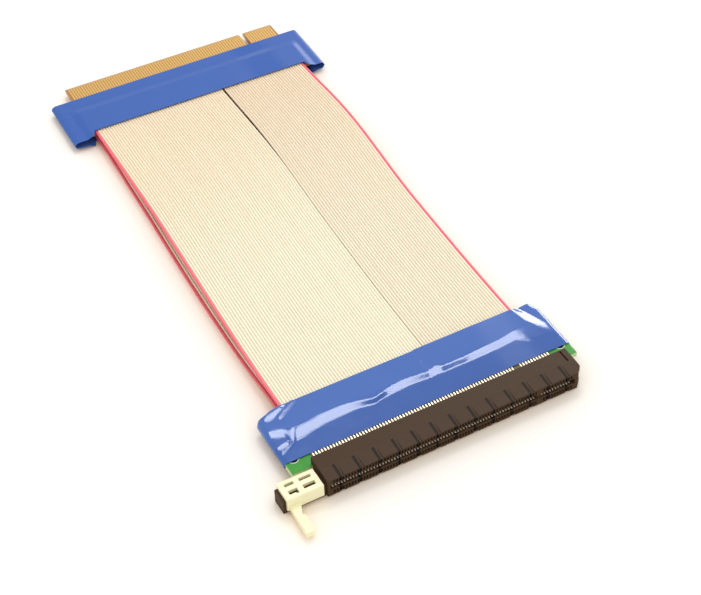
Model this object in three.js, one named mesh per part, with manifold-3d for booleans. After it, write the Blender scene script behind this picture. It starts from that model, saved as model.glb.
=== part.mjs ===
// Flat extender cable for a sixteen-lane graphics card, as it lies on a table.
// Millimetres, +Z up. +Y runs along the cable, from the slot's mouth to the card edge.
import * as THREE from "three";
import { mergeVertices } from "three/addons/utils/BufferGeometryUtils.js";
import Module from "manifold-3d";

// Contact pattern, the same in the slot and on the card edge
const PITCH = 1.0;
const SHORT_CONTACTS = 11;
const LONG_CONTACTS = 71;
const KEY_STEP = 3.0;

// Slot housing
const HOUSING_DEPTH = 10.6;
const HOUSING_HEIGHT = 7.5;
const MOUTH_HEIGHT = 6.7;
const BAND_DEPTH = 4.9;
const LEFT_WALL = 0.95;
const RIGHT_WALL = 3.0;
const CORNER_CHAMFER = 2.0;
const SLOT_HEIGHT = 1.8;
const SLOT_DEPTH = 7.8;
const SLOT_PLAY = 0.15;
const MOUTH_LEAD = 0.3;
const KEY_RIB_WIDTH = 1.7;
const KEY_RIB_SETBACK = 0.6;

// Contact cavities and the springs in them
const CAVITY_WIDTH = 0.6;
const CAVITY_HEIGHT = 1.85;
const CAVITY_BACK = 0.3;
const LIP_HEIGHT = 0.5;
const LIP_DEPTH = 0.8;
const CONTACT_WIDTH = 0.46;
const CONTACT_THICKNESS = 0.2;
const CONTACT_ROOT_RISE = 0.4;
const CROWN_SETBACK = 2.3;
const CROWN_HEIGHT = 0.35;
const TIP_RISE = 0.2;
const TIP_CLEARANCE = 0.2;
const TAIL_REACH = 4.3;

// Grooves between the pads along the mouth, and the cuts at the housing's right end
const GROOVE_PITCH = 6.58;
const GROOVE_WIDTH = 1.7;
const GROOVE_ROOF = 0.25;
const GROOVE_INSET = 3.9;
const END_GROOVE_INSET = 1.8;
const END_GROOVE_WIDTH = 0.7;
const END_GROOVE_DEPTH = 0.6;
const END_GROOVE_MARGIN = 0.5;
const END_NOTCH_DEPTH = 0.85;
const END_NOTCH_HEIGHT = 3.2;

// Tail of the housing and the retention clip pushed over it
const TAIL_FRONT = 1.05;
const TAIL_WIDTH = 5.6;
const TAIL_TOP = 5.0;
const TAIL_STUB = 1.0;
const CLIP_LENGTH = 12.1;
const CLIP_END_GAP = 1.1;
const CLIP_WALL = 0.9;
const CLIP_PLATE = 1.2;
const CLIP_SKIRT = 3.5;
const WINDOW_LEFT_RIM = 1.8;
const WINDOW_LEFT_LENGTH = 3.0;
const WINDOW_CROSS_BAR = 1.8;
const WINDOW_RIGHT_RIM = 1.6;
const WINDOW_FRONT_RIM = 1.75;
const WINDOW_FRONT_WIDTH = 1.5;
const WINDOW_SPINE = 1.75;
const WINDOW_REAR_WIDTH = 1.05;
const WINDOW_KEY = 0.9;
const ARM_REACH = 11.3;
const ARM_ROOT_WIDTH = 3.7;
const ARM_ROOT_INSET = 0.7;
const ARM_NECK_REACH = 4.1;
const ARM_NECK_WIDTH = 2.1;
const ARM_HOOK_WIDTH = 2.9;
const ARM_BARB_RISE = 0.5;
const ARM_LEAN = -0.3;
const ARM_TIP_CHAMFER = 0.8;
const ARM_THICKNESS = 2.0;
const ARM_DROP = 0.3;

// Slot board, straddled by the contact tails
const BOARD_THICKNESS = 1.6;
const BOARD_LENGTH = 100.3;
const BOARD_SHIFT = -0.35;
const BOARD_DEPTH = 22.5;
const BOARD_SEAT = 1.2;
const HOLE_DIAMETER = 3.3;
const HOLE_INSET = 3.0;
const HOLE_SETBACK = 5.6;

// Ribbon cable in two layers, one wire to each contact position
const WIDE_WIRES = 51;
const NARROW_WIRES = 33;
const WIRE_DIAMETER = 0.85;
const RIBBON_RUN = 155.7;
const RIBBON_LAP = 12.0;
const RIBBON_SEAT_GAP = 0.1;
const RIBBON_SPLIT = 0.2;
const RIBBON_SPREAD = 0.8;
const UPPER_LEFT_LIFT = 0.6;
const UPPER_RIGHT_LIFT = 2.7;
const UPPER_RIGHT_PEAK = 0.72;
const UPPER_RIGHT_REACH = 0.3;
const LOWER_SLIDE = 1.7;
const LOWER_CLEARANCE = 0.02;
const LOWER_RAMP = 0.22;
const RUN_STEPS = 12;

// Card edge board
const EDGE_SHIFT = 4.3;
const EDGE_YAW = -1.2;
const EDGE_BOTTOM = 1.8;
const EDGE_BODY_SHIFT = -0.7;
const EDGE_BODY_WIDTH = 100.0;
const EDGE_BODY_DEPTH = 20.3;
const TONGUE_DEPTH = 9.9;
const TONGUE_MARGIN = 1.1;
const KEY_NOTCH = 1.9;
const BEVEL_LENGTH = 1.2;
const BEVEL_DEPTH = 0.45;
const FINGER_WIDTH = 0.7;
const FINGER_THICKNESS = 0.06;
const FINGER_START = 1.2;

// Adhesive tape wrapped round both boards
const TAPE_THICKNESS = 0.3;
const TAPE_GAP = 0.3;
const TAPE_SETBACK = 4.4;
const TAPE_OVERHANG = 2.9;
const TAPE_FOLD = 0.6;
const TAPE_PINCH = 1.6;
const TAPE_SHOULDER = 3.0;
const TAPE_RIDGE = 0.4;
const TAPE_RIDGE_SETBACK = 9.0;
const EDGE_TAPE_LAP = 0.9;
const EDGE_TAPE_HEM = 0.6;
const TAPE_FALL = 2.0;
const EAR_LENGTH = 3.3;

// Sizes that follow
const CONTACT_SPAN = (SHORT_CONTACTS + LONG_CONTACTS - 2) * PITCH + KEY_STEP;
const KEY_X = CONTACT_SPAN / 2 - (SHORT_CONTACTS - 1) * PITCH - KEY_STEP / 2;
const TONGUE_HALF = CONTACT_SPAN / 2 + TONGUE_MARGIN;
const SLOT_HALF = TONGUE_HALF + SLOT_PLAY;
const HOUSING_LEFT = -SLOT_HALF - LEFT_WALL;
const HOUSING_RIGHT = SLOT_HALF + RIGHT_WALL;
const MID = HOUSING_HEIGHT / 2;
const BOARD_HALF = BOARD_THICKNESS / 2;
const BOARD_FRONT = HOUSING_DEPTH - BOARD_SEAT;
const BOARD_REAR = BOARD_FRONT + BOARD_DEPTH;
const TAIL_Y = HOUSING_DEPTH + TAIL_REACH;
const TAPE_FRONT = HOUSING_DEPTH + TAPE_SETBACK;
const TAPE_REAR = BOARD_REAR + TAPE_OVERHANG;
const EDGE_Y = TAPE_REAR + RIBBON_RUN;
const EDGE_TOP = EDGE_BOTTOM + BOARD_THICKNESS;
const RIBBON_WIDTH = (WIDE_WIRES + NARROW_WIRES) * PITCH;
const OVERSHOOT = 1;
const SIDES = [-1, 1];

const wasm = await Module();
wasm.setup();

// A closed geometry as a solid that can be joined and cut.
function solid(geometry) {
  const bare = geometry.clone();
  bare.deleteAttribute("normal");
  bare.deleteAttribute("uv");
  const merged = mergeVertices(bare, 1e-4);
  const mesh = new wasm.Mesh({
    numProp: 3,
    vertProperties: merged.attributes.position.array,
    triVerts: new Uint32Array(merged.index.array),
  });
  return new wasm.Manifold(mesh);
}

// The geometry of a solid, for a mesh.
function geometryOf(body) {
  const { vertProperties, triVerts } = body.getMesh();
  const geometry = new THREE.BufferGeometry();
  geometry.setAttribute("position", new THREE.BufferAttribute(vertProperties, 3));
  geometry.setIndex(new THREE.BufferAttribute(triVerts, 1));
  return geometry;
}

function joined(geometries) {
  return wasm.Manifold.union(geometries.map(solid));
}

function outline(points) {
  return new THREE.Shape(points.map(([x, y]) => new THREE.Vector2(x, y)));
}

function box(x0, x1, y0, y1, z0, z1) {
  const geometry = new THREE.BoxGeometry(x1 - x0, y1 - y0, z1 - z0);
  return geometry.translate((x0 + x1) / 2, (y0 + y1) / 2, (z0 + z1) / 2);
}

// A plan drawn in X and Y, raised from z0 to z1.
function alongZ(shape, z0, z1) {
  const options = { depth: z1 - z0, bevelEnabled: false, curveSegments: 8 };
  return new THREE.ExtrudeGeometry(shape, options).translate(0, 0, z0);
}

// A profile drawn in Y and Z, run from x0 to x1.
function alongX(points, x0, x1) {
  const options = { depth: x1 - x0, bevelEnabled: false };
  const geometry = new THREE.ExtrudeGeometry(outline(points), options);
  const yzx = new THREE.Matrix4().makeBasis(
    new THREE.Vector3(0, 1, 0),
    new THREE.Vector3(0, 0, 1),
    new THREE.Vector3(1, 0, 0),
  );
  return geometry.applyMatrix4(yzx).translate(x0, 0, 0);
}

// A section drawn in X and Z, run through a list of y stations, with each point then placed.
function alongY(shape, stations, place) {
  const steps = stations.length - 1;
  const options = { depth: steps, steps, bevelEnabled: false };
  const geometry = new THREE.ExtrudeGeometry(shape, options).rotateX(Math.PI / 2);
  const position = geometry.attributes.position;
  const point = new THREE.Vector3();
  for (let i = 0; i < position.count; i++) {
    point.fromBufferAttribute(position, i);
    point.y = stations[steps + Math.round(point.y)];
    place(point);
    position.setXYZ(i, point.x, point.y, point.z);
  }
  return geometry;
}

// The x of every contact, from the short group at +X to the end of the long one.
function contactPlaces() {
  const short = Array.from({ length: SHORT_CONTACTS }, (_, i) => CONTACT_SPAN / 2 - i * PITCH);
  const first = short.at(-1) - KEY_STEP;
  const long = Array.from({ length: LONG_CONTACTS }, (_, i) => first - i * PITCH);
  return [...short, ...long];
}

// A profile of [y, height over the slot's mid-plane], on the upper or the lower side.
function onSide(side, profile) {
  return profile.map(([y, height]) => [y, MID + side * height]);
}

// The card slot: a straight channel with a flared mouth, and the rib that fits the card's notch.
function cardSlot() {
  const half = SLOT_HALF;
  const profile = [
    [-OVERSHOOT, SLOT_HEIGHT / 2 + MOUTH_LEAD],
    [0, SLOT_HEIGHT / 2 + MOUTH_LEAD],
    [MOUTH_LEAD, SLOT_HEIGHT / 2],
    [SLOT_DEPTH, SLOT_HEIGHT / 2],
  ];
  const lower = profile.toReversed().map(([y, height]) => [y, -height]);
  const channel = solid(alongX(onSide(1, [...profile, ...lower]), -half, half));
  const rib = box(
    KEY_X - KEY_RIB_WIDTH / 2,
    KEY_X + KEY_RIB_WIDTH / 2,
    KEY_RIB_SETBACK,
    SLOT_DEPTH,
    0,
    HOUSING_HEIGHT,
  );
  return channel.subtract(solid(rib));
}

// One contact's cavity: open to the slot behind a lip, and to the front through a window.
function cavity(x, side) {
  const lip = SLOT_HEIGHT / 2 + LIP_HEIGHT;
  const roof = SLOT_HEIGHT / 2 + CAVITY_HEIGHT;
  const profile = [
    [-OVERSHOOT, lip],
    [LIP_DEPTH, lip],
    [LIP_DEPTH, CROWN_HEIGHT],
    [SLOT_DEPTH - CAVITY_BACK, CROWN_HEIGHT],
    [SLOT_DEPTH - CAVITY_BACK, roof],
    [-OVERSHOOT, roof],
  ];
  return alongX(onSide(side, profile), x - CAVITY_WIDTH / 2, x + CAVITY_WIDTH / 2);
}

// One contact: a strip soldered on the board, cranked inside the rear wall, with a sprung
// crown that reaches into the slot and a tapered tip that rides behind the lip.
function contact(x, side) {
  const strip = [
    [TAIL_Y, BOARD_HALF],
    [HOUSING_DEPTH, BOARD_HALF],
    [SLOT_DEPTH, BOARD_HALF + CONTACT_ROOT_RISE],
    [CROWN_SETBACK, CROWN_HEIGHT],
  ];
  const tip = [LIP_DEPTH + TIP_CLEARANCE, SLOT_HEIGHT / 2 + TIP_RISE];
  const top = strip.toReversed().map(([y, height]) => [y, height + CONTACT_THICKNESS]);
  const profile = onSide(side, [...strip, tip, ...top]);
  return alongX(profile, x - CONTACT_WIDTH / 2, x + CONTACT_WIDTH / 2);
}

// The wedge-shaped grooves that part the pads along the mouth.
function grooves(side) {
  const floor = SLOT_HEIGHT / 2 + CAVITY_HEIGHT + GROOVE_ROOF;
  const slope = (MID - floor) / BAND_DEPTH;
  const profile = [
    [-OVERSHOOT, floor - slope * OVERSHOOT],
    [BAND_DEPTH, MID],
    [BAND_DEPTH, MID + OVERSHOOT],
    [-OVERSHOOT, MID + OVERSHOOT],
  ];
  const cuts = [];
  const last = HOUSING_RIGHT - END_GROOVE_INSET;
  for (let x = HOUSING_LEFT + GROOVE_INSET; x + GROOVE_WIDTH < last; x += GROOVE_PITCH) {
    cuts.push(alongX(onSide(side, profile), x, x + GROOVE_WIDTH));
  }
  return cuts;
}

// The short groove across the rear band, beside the right end.
function endGroove(side) {
  const right = HOUSING_RIGHT - END_GROOVE_INSET;
  const profile = [
    [BAND_DEPTH + END_GROOVE_MARGIN, MID - END_GROOVE_DEPTH],
    [HOUSING_DEPTH - END_GROOVE_MARGIN, MID - END_GROOVE_DEPTH],
    [HOUSING_DEPTH - END_GROOVE_MARGIN, MID + OVERSHOOT],
    [BAND_DEPTH + END_GROOVE_MARGIN, MID + OVERSHOOT],
  ];
  return alongX(onSide(side, profile), right - END_GROOVE_WIDTH, right);
}

// The notch in the right end wall and the cut across the front corner beside it.
function endCuts() {
  const notch = box(
    HOUSING_RIGHT - END_NOTCH_DEPTH,
    HOUSING_RIGHT + OVERSHOOT,
    -OVERSHOOT,
    BAND_DEPTH,
    MID - END_NOTCH_HEIGHT / 2,
    MID + END_NOTCH_HEIGHT / 2,
  );
  const corner = outline([
    [HOUSING_RIGHT - CORNER_CHAMFER - OVERSHOOT, -OVERSHOOT],
    [HOUSING_RIGHT + OVERSHOOT, -OVERSHOOT],
    [HOUSING_RIGHT + OVERSHOOT, CORNER_CHAMFER + OVERSHOOT],
  ]);
  return [notch, alongZ(corner, -OVERSHOOT, HOUSING_HEIGHT + OVERSHOOT)];
}

// The channel across the back that takes the board's front edge.
function boardChannel() {
  return box(
    HOUSING_LEFT - OVERSHOOT,
    HOUSING_RIGHT + OVERSHOOT,
    BOARD_FRONT,
    HOUSING_DEPTH + OVERSHOOT,
    MID - BOARD_HALF,
    MID + BOARD_HALF,
  );
}

function housingBlock() {
  const mouth = MOUTH_HEIGHT / 2;
  const profile = [
    [0, -mouth],
    [BAND_DEPTH, -MID],
    [HOUSING_DEPTH, -MID],
    [HOUSING_DEPTH, MID],
    [BAND_DEPTH, MID],
    [0, mouth],
  ];
  const block = alongX(onSide(1, profile), HOUSING_LEFT, HOUSING_RIGHT);
  const tail = box(
    HOUSING_LEFT - CLIP_END_GAP - CLIP_LENGTH - TAIL_STUB,
    HOUSING_LEFT + LEFT_WALL / 2,
    TAIL_FRONT,
    TAIL_FRONT + TAIL_WIDTH,
    0,
    TAIL_TOP,
  );
  return joined([block, tail]);
}

// The slot moulding, with the contacts that are pressed into it.
function slotHousing() {
  const places = contactPlaces();
  const cuts = [boardChannel(), ...endCuts()];
  const contacts = [];
  for (const side of SIDES) {
    cuts.push(...grooves(side), endGroove(side));
    cuts.push(...places.map((x) => cavity(x, side)));
    contacts.push(...places.map((x) => contact(x, side)));
  }
  return housingBlock().subtract(cardSlot()).subtract(joined(cuts)).add(joined(contacts));
}

// The four windows in the clip's plate; the front left one has a keyed corner.
function clipWindows(left, right, front) {
  const x0 = left + WINDOW_LEFT_RIM;
  const x1 = x0 + WINDOW_LEFT_LENGTH;
  const x2 = x1 + WINDOW_CROSS_BAR;
  const x3 = right - WINDOW_RIGHT_RIM;
  const y0 = front + WINDOW_FRONT_RIM;
  const y1 = y0 + WINDOW_FRONT_WIDTH;
  const y2 = y1 + WINDOW_SPINE;
  const y3 = y2 + WINDOW_REAR_WIDTH;
  const z0 = TAIL_TOP - OVERSHOOT;
  const z1 = TAIL_TOP + CLIP_PLATE + OVERSHOOT;
  return [
    box(x0, x1, y0, y1, z0, z1),
    box(x2, x3, y0, y1, z0, z1),
    box(x0, x1, y2, y3, z0, z1),
    box(x2, x3, y2, y3, z0, z1),
    box(x1 - WINDOW_KEY, x1, y0 - WINDOW_KEY / 2, y1, z0, z1),
  ];
}

// The hook arm, seen from above: a slim neck, a barb towards the slot and a cut tip.
function clipArm(left, front) {
  const root = left + ARM_ROOT_INSET;
  const neckY = front - ARM_NECK_REACH;
  const tipY = front - ARM_REACH;
  const neckX = root + (ARM_LEAN * ARM_NECK_REACH) / ARM_REACH;
  const tipX = root + ARM_LEAN;
  const barbX = neckX + ARM_HOOK_WIDTH;
  const plan = outline([
    [root, front + CLIP_WALL],
    [root, front],
    [tipX, tipY],
    [tipX + ARM_HOOK_WIDTH - ARM_TIP_CHAMFER, tipY],
    [tipX + ARM_HOOK_WIDTH, tipY + ARM_TIP_CHAMFER],
    [barbX, neckY - ARM_BARB_RISE],
    [neckX + ARM_NECK_WIDTH, neckY],
    [root + ARM_ROOT_WIDTH, front],
    [root + ARM_ROOT_WIDTH, front + CLIP_WALL],
  ]);
  const bottom = TAIL_TOP - CLIP_SKIRT - ARM_DROP;
  return alongZ(plan, bottom, bottom + ARM_THICKNESS);
}

// The retention clip: a saddle over the housing's tail, with its hook arm.
function retentionClip() {
  const right = HOUSING_LEFT - CLIP_END_GAP;
  const left = right - CLIP_LENGTH;
  const front = TAIL_FRONT - CLIP_WALL;
  const rear = TAIL_FRONT + TAIL_WIDTH;
  const bottom = TAIL_TOP - CLIP_SKIRT;
  const top = TAIL_TOP + CLIP_PLATE;
  const saddle = joined([
    box(left, right, front, rear + CLIP_WALL, TAIL_TOP, top),
    box(left, right, front, TAIL_FRONT, bottom, top),
    box(left, right, rear, rear + CLIP_WALL, bottom, top),
    clipArm(left, front),
  ]);
  return saddle.subtract(joined(clipWindows(left, right, front)));
}

function slotBoard() {
  const left = BOARD_SHIFT - BOARD_LENGTH / 2;
  const right = BOARD_SHIFT + BOARD_LENGTH / 2;
  const plan = outline([
    [left, BOARD_FRONT],
    [right, BOARD_FRONT],
    [right, BOARD_REAR],
    [left, BOARD_REAR],
  ]);
  for (const x of [left + HOLE_INSET, right - HOLE_INSET]) {
    const hole = new THREE.Path();
    hole.absarc(x, BOARD_FRONT + HOLE_SETBACK, HOLE_DIAMETER / 2, 0, 2 * Math.PI, true);
    plan.holes.push(hole);
  }
  return alongZ(plan, MID - BOARD_HALF, MID + BOARD_HALF);
}

// The card edge board: a broad body, and the tongue with its key notch and bevelled edge.
function edgePlan() {
  const left = EDGE_BODY_SHIFT - EDGE_BODY_WIDTH / 2;
  const right = EDGE_BODY_SHIFT + EDGE_BODY_WIDTH / 2;
  const end = EDGE_BODY_DEPTH + TONGUE_DEPTH;
  return outline([
    [left, 0],
    [right, 0],
    [right, EDGE_BODY_DEPTH],
    [TONGUE_HALF, EDGE_BODY_DEPTH],
    [TONGUE_HALF, end],
    [KEY_X + KEY_NOTCH / 2, end],
    [KEY_X + KEY_NOTCH / 2, EDGE_BODY_DEPTH],
    [KEY_X - KEY_NOTCH / 2, EDGE_BODY_DEPTH],
    [KEY_X - KEY_NOTCH / 2, end],
    [-TONGUE_HALF, end],
    [-TONGUE_HALF, EDGE_BODY_DEPTH],
    [left, EDGE_BODY_DEPTH],
  ]);
}

function edgeBevel(side) {
  const end = EDGE_BODY_DEPTH + TONGUE_DEPTH;
  const middle = EDGE_BOTTOM + BOARD_HALF;
  const profile = [
    [end - BEVEL_LENGTH, middle + side * BOARD_HALF],
    [end, middle + side * (BOARD_HALF - BEVEL_DEPTH)],
    [end + OVERSHOOT, middle + side * (BOARD_HALF - BEVEL_DEPTH)],
    [end + OVERSHOOT, middle + side * (BOARD_HALF + OVERSHOOT)],
    [end - BEVEL_LENGTH, middle + side * (BOARD_HALF + OVERSHOOT)],
  ];
  return alongX(profile, -EDGE_BODY_WIDTH, EDGE_BODY_WIDTH);
}

// The plated fingers, proud of both faces by the thickness of the plating.
function goldFingers() {
  const y0 = EDGE_BODY_DEPTH + FINGER_START;
  const y1 = EDGE_BODY_DEPTH + TONGUE_DEPTH - BEVEL_LENGTH;
  return contactPlaces().map((x) =>
    box(
      x - FINGER_WIDTH / 2,
      x + FINGER_WIDTH / 2,
      y0,
      y1,
      EDGE_BOTTOM - FINGER_THICKNESS,
      EDGE_TOP + FINGER_THICKNESS,
    ),
  );
}

function edgeBoard() {
  const board = solid(alongZ(edgePlan(), EDGE_BOTTOM, EDGE_TOP));
  return board.add(joined(goldFingers())).subtract(joined(SIDES.map(edgeBevel)));
}

// The section of a ribbon: as thick as a wire, with the round sides of its outermost wires.
function ribbonSection(first, wires, side) {
  const left = -RIBBON_WIDTH / 2 + first * PITCH;
  const right = left + wires * PITCH;
  const round = WIRE_DIAMETER / 4;
  const outer = side * WIRE_DIAMETER;
  const inset = side * round;
  return outline([
    [left + round, 0],
    [left, inset],
    [left, outer - inset],
    [left + round, outer],
    [right - round, outer],
    [right, outer - inset],
    [right, inset],
    [right - round, 0],
  ]);
}

// 1 at the centre of a hump and 0 beyond its reach, with no kink.
function hump(at, centre, reach) {
  const away = Math.min(Math.abs(at - centre) / reach, 1);
  return Math.cos((away * Math.PI) / 2) ** 2;
}

// Where a point of a ribbon's section goes at its y: along the run it drifts, turns and lifts.
function ribbonPlace(side, spread) {
  const seat = BOARD_HALF + RIBBON_SEAT_GAP;
  const slotHeight = MID + side * seat;
  const edgeHeight = EDGE_BOTTOM + BOARD_HALF + side * seat;
  const turn = Math.tan(THREE.MathUtils.degToRad(EDGE_YAW));
  return (point) => {
    const run = THREE.MathUtils.clamp((point.y - TAPE_REAR) / RIBBON_RUN, 0, 1);
    const blend = THREE.MathUtils.smoothstep(run, 0, 1);
    const across = point.x / RIBBON_WIDTH + 0.5;
    const seated = THREE.MathUtils.lerp(slotHeight, edgeHeight, blend);
    point.y += blend * turn * point.x;
    point.x += blend * EDGE_SHIFT + spread * (RIBBON_SPLIT + blend * RIBBON_SPREAD) / 2;
    if (side > 0) {
      const leftLift = UPPER_LEFT_LIFT * hump(run, 0.5, 0.5);
      const rightLift = UPPER_RIGHT_LIFT * hump(run, UPPER_RIGHT_PEAK, UPPER_RIGHT_REACH);
      point.z += seated + THREE.MathUtils.lerp(leftLift, rightLift, across);
    } else {
      const table = WIRE_DIAMETER + LOWER_CLEARANCE;
      const down = Math.min(
        THREE.MathUtils.smoothstep(run, 0, LOWER_RAMP),
        THREE.MathUtils.smoothstep(1 - run, 0, LOWER_RAMP),
      );
      point.z += THREE.MathUtils.lerp(seated, table, down);
      point.x -= LOWER_SLIDE * hump(run, 0.5, 0.5);
    }
  };
}

function ribbonStations() {
  const stations = [BOARD_REAR - RIBBON_LAP];
  for (let i = 0; i <= RUN_STEPS; i++) {
    stations.push(TAPE_REAR + (RIBBON_RUN * i) / RUN_STEPS);
  }
  stations.push(EDGE_Y + RIBBON_LAP);
  return stations;
}

function ribbon(side, first, wires, spread) {
  const section = ribbonSection(first, wires, side);
  return alongY(section, ribbonStations(), ribbonPlace(side, spread));
}

// A closed wall of rings with as many points each, the last ring joined to the first.
function wallOf(rings) {
  const count = rings[0].length;
  const index = [];
  for (let j = 0; j < rings.length; j++) {
    const here = j * count;
    const next = ((j + 1) % rings.length) * count;
    for (let i = 0; i < count; i++) {
      const k = (i + 1) % count;
      index.push(here + i, next + k, here + k, here + i, next + i, next + k);
    }
  }
  const geometry = new THREE.BufferGeometry().setFromPoints(rings.flat());
  return geometry.setIndex(index);
}

// The outline of a tape sleeve: folded ends, and shoulders beside the ribbon inside.
function sleeveOutline(halfWidth, halfHeight, ribbonHalf) {
  const corner = [
    [halfWidth, halfHeight - TAPE_FOLD],
    [halfWidth - TAPE_FOLD, halfHeight],
    [ribbonHalf + TAPE_SHOULDER, halfHeight],
    [ribbonHalf, halfHeight],
  ];
  const upper = [...corner, ...corner.toReversed().map(([x, z]) => [-x, z])];
  const lower = upper.toReversed().map(([x, z]) => [x, -z]);
  return [...upper, ...lower];
}

// A tape sleeve round a board, swelling over the ribbon by lift(y, face) on each face. Its first
// edge lies at the first station beside the ribbon and at hem over it. It narrows behind the board.
function sleeve(board, stations, hem, middle, lift) {
  const ribbonHalf = RIBBON_WIDTH / 2 + RIBBON_SPREAD;
  const halfWidth = board.width / 2 + TAPE_GAP;
  const halfHeight = BOARD_HALF + CONTACT_THICKNESS + TAPE_GAP;
  const ring = (y, grow) => {
    const outer = halfWidth + grow - (y > board.rear ? TAPE_PINCH : 0);
    return sleeveOutline(outer, halfHeight + grow, ribbonHalf + grow).map(([x, z]) => {
      const overRibbon = Math.abs(x) < ribbonHalf + TAPE_SHOULDER / 2;
      const face = Math.sign(z);
      const swell = overRibbon ? face * lift(y, face) : 0;
      const placedX = overRibbon ? x : x + board.shift;
      return new THREE.Vector3(placedX, overRibbon ? Math.max(y, hem) : y, middle + z + swell);
    });
  };
  const outside = stations.map((y) => ring(y, TAPE_THICKNESS));
  const inside = stations.toReversed().map((y) => ring(y, 0));
  return wallOf([...outside, ...inside]);
}

const RIBBON_LIFT = RIBBON_SEAT_GAP + WIRE_DIAMETER - CONTACT_THICKNESS;

// The slot end's tape, with the ridge that the wire ends push up.
function slotTape() {
  const ridge = TAPE_FRONT + TAPE_RIDGE_SETBACK;
  const ribbonStart = BOARD_REAR - RIBBON_LAP;
  const lift = (y, face) => {
    const swell = y < ribbonStart ? 0 : RIBBON_LIFT;
    return swell + (y === ridge && face > 0 ? TAPE_RIDGE : 0);
  };
  const fall = ribbonStart - TAPE_FALL;
  const stations = [TAPE_FRONT, fall, ribbonStart, ridge, BOARD_REAR, TAPE_REAR];
  const board = { width: BOARD_LENGTH, shift: BOARD_SHIFT, rear: BOARD_REAR };
  return sleeve(board, stations, TAPE_FRONT, MID, lift);
}

// The card end's tape: its ends run on past the board as open ears beside the ribbon.
function edgeTape() {
  const reach = EDGE_BODY_DEPTH + EDGE_TAPE_LAP;
  const stations = [-EAR_LENGTH, 0, RIBBON_LAP, RIBBON_LAP + TAPE_FALL, reach];
  const lift = (y) => (y > RIBBON_LAP ? 0 : RIBBON_LIFT);
  const middle = EDGE_BOTTOM + BOARD_HALF;
  const board = { width: EDGE_BODY_WIDTH, shift: EDGE_BODY_SHIFT, rear: reach };
  return sleeve(board, stations, -EDGE_TAPE_HEM, middle, lift);
}

function finish(color, roughness, metalness) {
  return new THREE.MeshStandardMaterial({ color, roughness, metalness, flatShading: true });
}

function piece(name, shape, material) {
  const geometry = shape instanceof THREE.BufferGeometry ? shape : geometryOf(shape);
  const mesh = new THREE.Mesh(geometry, material);
  mesh.name = name;
  return mesh;
}

const cable = new THREE.Group();
cable.add(
  piece("slot_housing", slotHousing(), finish("#3a332c", 0.6, 0)),
  piece("retention_clip", retentionClip(), finish("#f1e8c8", 0.5, 0)),
  piece("slot_board", slotBoard(), finish("#1f8a45", 0.45, 0)),
  piece("slot_tape", slotTape(), finish("#2f5fb0", 0.25, 0)),
);

const RIBBONS = [
  ["wide", 0, WIDE_WIRES, -1],
  ["narrow", WIDE_WIRES, NARROW_WIRES, 1],
];
const LAYERS = [
  ["upper", 1],
  ["lower", -1],
];
for (const [layer, side] of LAYERS) {
  for (const [width, first, wires, spread] of RIBBONS) {
    const name = `ribbon_${layer}_${width}`;
    cable.add(piece(name, ribbon(side, first, wires, spread), finish("#cfc5b2", 0.55, 0)));
  }
}

const cardEnd = new THREE.Group();
cardEnd.position.set(EDGE_SHIFT, EDGE_Y, 0);
cardEnd.rotation.z = THREE.MathUtils.degToRad(EDGE_YAW);
cardEnd.add(
  piece("edge_board", edgeBoard(), finish("#c79a4a", 0.35, 0.6)),
  piece("edge_tape", edgeTape(), finish("#2f5fb0", 0.35, 0)),
);
cable.add(cardEnd);

// The origin is under the middle of the cable, on the table.
const bounds = new THREE.Box3().setFromObject(cable, true);
const centre = bounds.getCenter(new THREE.Vector3());
const part = new THREE.Group();
cable.position.set(-centre.x, -centre.y, -bounds.min.z);
part.add(cable);

export default part;
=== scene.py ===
# %% [markdown]
# # A flat extender cable for a graphics card
# The cable has a black card slot on one end and a card edge with gold fingers on the other. Two
# layers of ribbon cable run between them, and blue tape covers both soldered joints. The packed
# model gives every rigid piece at its real size, in metres, with the cable's middle over the
# origin. This lesson dresses it: soft pieces are remade with fine detail, and every surface gets
# the finish of the real one.

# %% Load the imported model
import math

import bmesh
import bpy
import numpy as np
from mathutils import Euler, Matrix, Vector, noise


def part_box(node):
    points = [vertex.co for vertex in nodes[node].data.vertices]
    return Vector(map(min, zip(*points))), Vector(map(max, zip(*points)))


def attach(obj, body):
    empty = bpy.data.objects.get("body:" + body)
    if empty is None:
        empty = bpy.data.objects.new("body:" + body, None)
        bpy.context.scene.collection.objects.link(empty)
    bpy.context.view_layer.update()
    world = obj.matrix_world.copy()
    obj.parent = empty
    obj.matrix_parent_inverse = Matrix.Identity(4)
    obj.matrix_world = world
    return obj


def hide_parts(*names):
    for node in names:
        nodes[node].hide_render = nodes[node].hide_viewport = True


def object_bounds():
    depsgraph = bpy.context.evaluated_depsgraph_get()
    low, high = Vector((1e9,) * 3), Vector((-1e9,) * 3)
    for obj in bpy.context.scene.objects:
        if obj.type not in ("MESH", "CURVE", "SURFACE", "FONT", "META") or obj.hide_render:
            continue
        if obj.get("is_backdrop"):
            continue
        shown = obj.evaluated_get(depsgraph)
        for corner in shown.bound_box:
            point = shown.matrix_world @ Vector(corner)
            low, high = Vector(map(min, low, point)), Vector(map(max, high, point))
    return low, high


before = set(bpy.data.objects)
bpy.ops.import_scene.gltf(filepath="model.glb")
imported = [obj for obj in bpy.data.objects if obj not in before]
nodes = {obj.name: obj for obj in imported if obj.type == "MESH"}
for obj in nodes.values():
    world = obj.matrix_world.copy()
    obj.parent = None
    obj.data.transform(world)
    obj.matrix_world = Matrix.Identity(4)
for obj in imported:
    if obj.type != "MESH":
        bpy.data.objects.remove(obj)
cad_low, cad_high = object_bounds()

MM = 0.001
print("nodes:", sorted(nodes))
print("CAD box in mm:", [round((high - low) / MM, 1) for low, high in zip(cad_low, cad_high)])

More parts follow.
